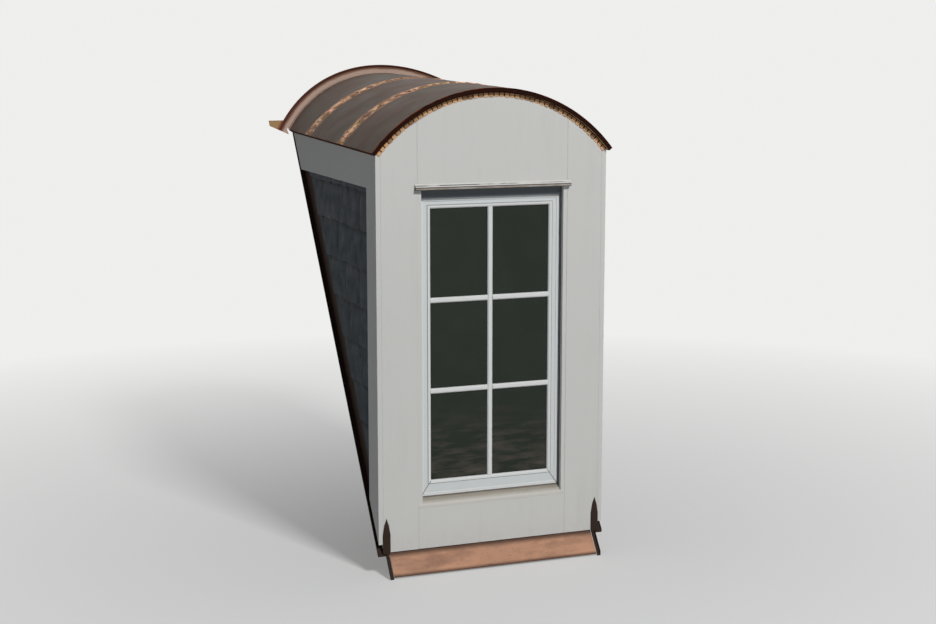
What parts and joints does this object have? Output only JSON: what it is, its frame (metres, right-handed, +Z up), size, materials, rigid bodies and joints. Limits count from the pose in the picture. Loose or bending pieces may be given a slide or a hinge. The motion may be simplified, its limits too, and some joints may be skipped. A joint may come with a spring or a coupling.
{
  "type": "barrel-roofed dormer window",
  "caption": "Narrow dormer window with a segmental barrel roof in copper, painted face boards, a fixed sash and slated cheeks, open at the back where it sits on a pitched roof",
  "frame": {"origin": "middle of the underside of the front curb, on the plane of the main roof", "axes": "+X to the right seen from in front, +Y level into the roof, +Z up; the main roof plane rises 52 degrees along +Y"},
  "size_m": [1.332, 1.7661, 2.2606],
  "materials": {
    "timber": "rough-sawn softwood framing, dry and unpainted",
    "plywood": "plywood sheathing and deck boards, unpainted",
    "painted_board": "smooth boards in matt warm white paint with light dirt at the edges",
    "cheek_slate": "split natural slate, dark blue-grey, uneven edges",
    "sash_paint": "satin white coated frame and sash, slightly cooler than the boards",
    "window_pane": "clear sealed glass, dark green-grey against a dim room",
    "aged_copper": "sheet copper weathered to brown, with bright scraped seams",
    "bright_copper": "newer sheet copper, bright salmon pink with darker streaks"
  },
  "bodies": {
    "root": {"front_curb": "timber", "front_studs": "timber", "window_header": "timber", "front_top_plate": "timber", "front_cripples": "timber", "front_rib": "timber", "sole_plates": "timber", "cheek_studs": "timber", "cheek_top_plates": "timber", "roof_ribs": "timber", "valley_nailer": "timber", "roof_deck": "plywood", "front_sheathing_sides": "plywood", "front_sheathing_infill": "plywood", "cheek_sheathing_left": "plywood", "cheek_sheathing_right": "plywood", "front_stile_left": "painted_board", "front_stile_right": "painted_board", "front_head_panel": "painted_board", "front_bottom_rail": "painted_board", "corner_board_left": "painted_board", "corner_board_right": "painted_board", "frieze_left": "painted_board", "frieze_right": "painted_board", "head_drip": "painted_board", "cheek_slates_left": "cheek_slate", "cheek_slates_right": "cheek_slate", "frame_head": "sash_paint", "frame_jamb_left": "sash_paint", "frame_jamb_right": "sash_paint", "frame_sill": "sash_paint", "sash_stile_left": "sash_paint", "sash_stile_right": "sash_paint", "sash_top_rail": "sash_paint", "sash_bottom_rail": "sash_paint", "window_glass": "window_pane", "copper_pan_front": "aged_copper", "copper_pan_middle": "aged_copper", "copper_pan_rear": "aged_copper", "arch_drip_edge": "aged_copper", "eave_drips": "aged_copper", "side_flashing_left": "aged_copper", "side_flashing_right": "aged_copper", "arch_tabs": "bright_copper", "rear_flange": "bright_copper", "apron": "bright_copper"}
  },
  "joints": []
}
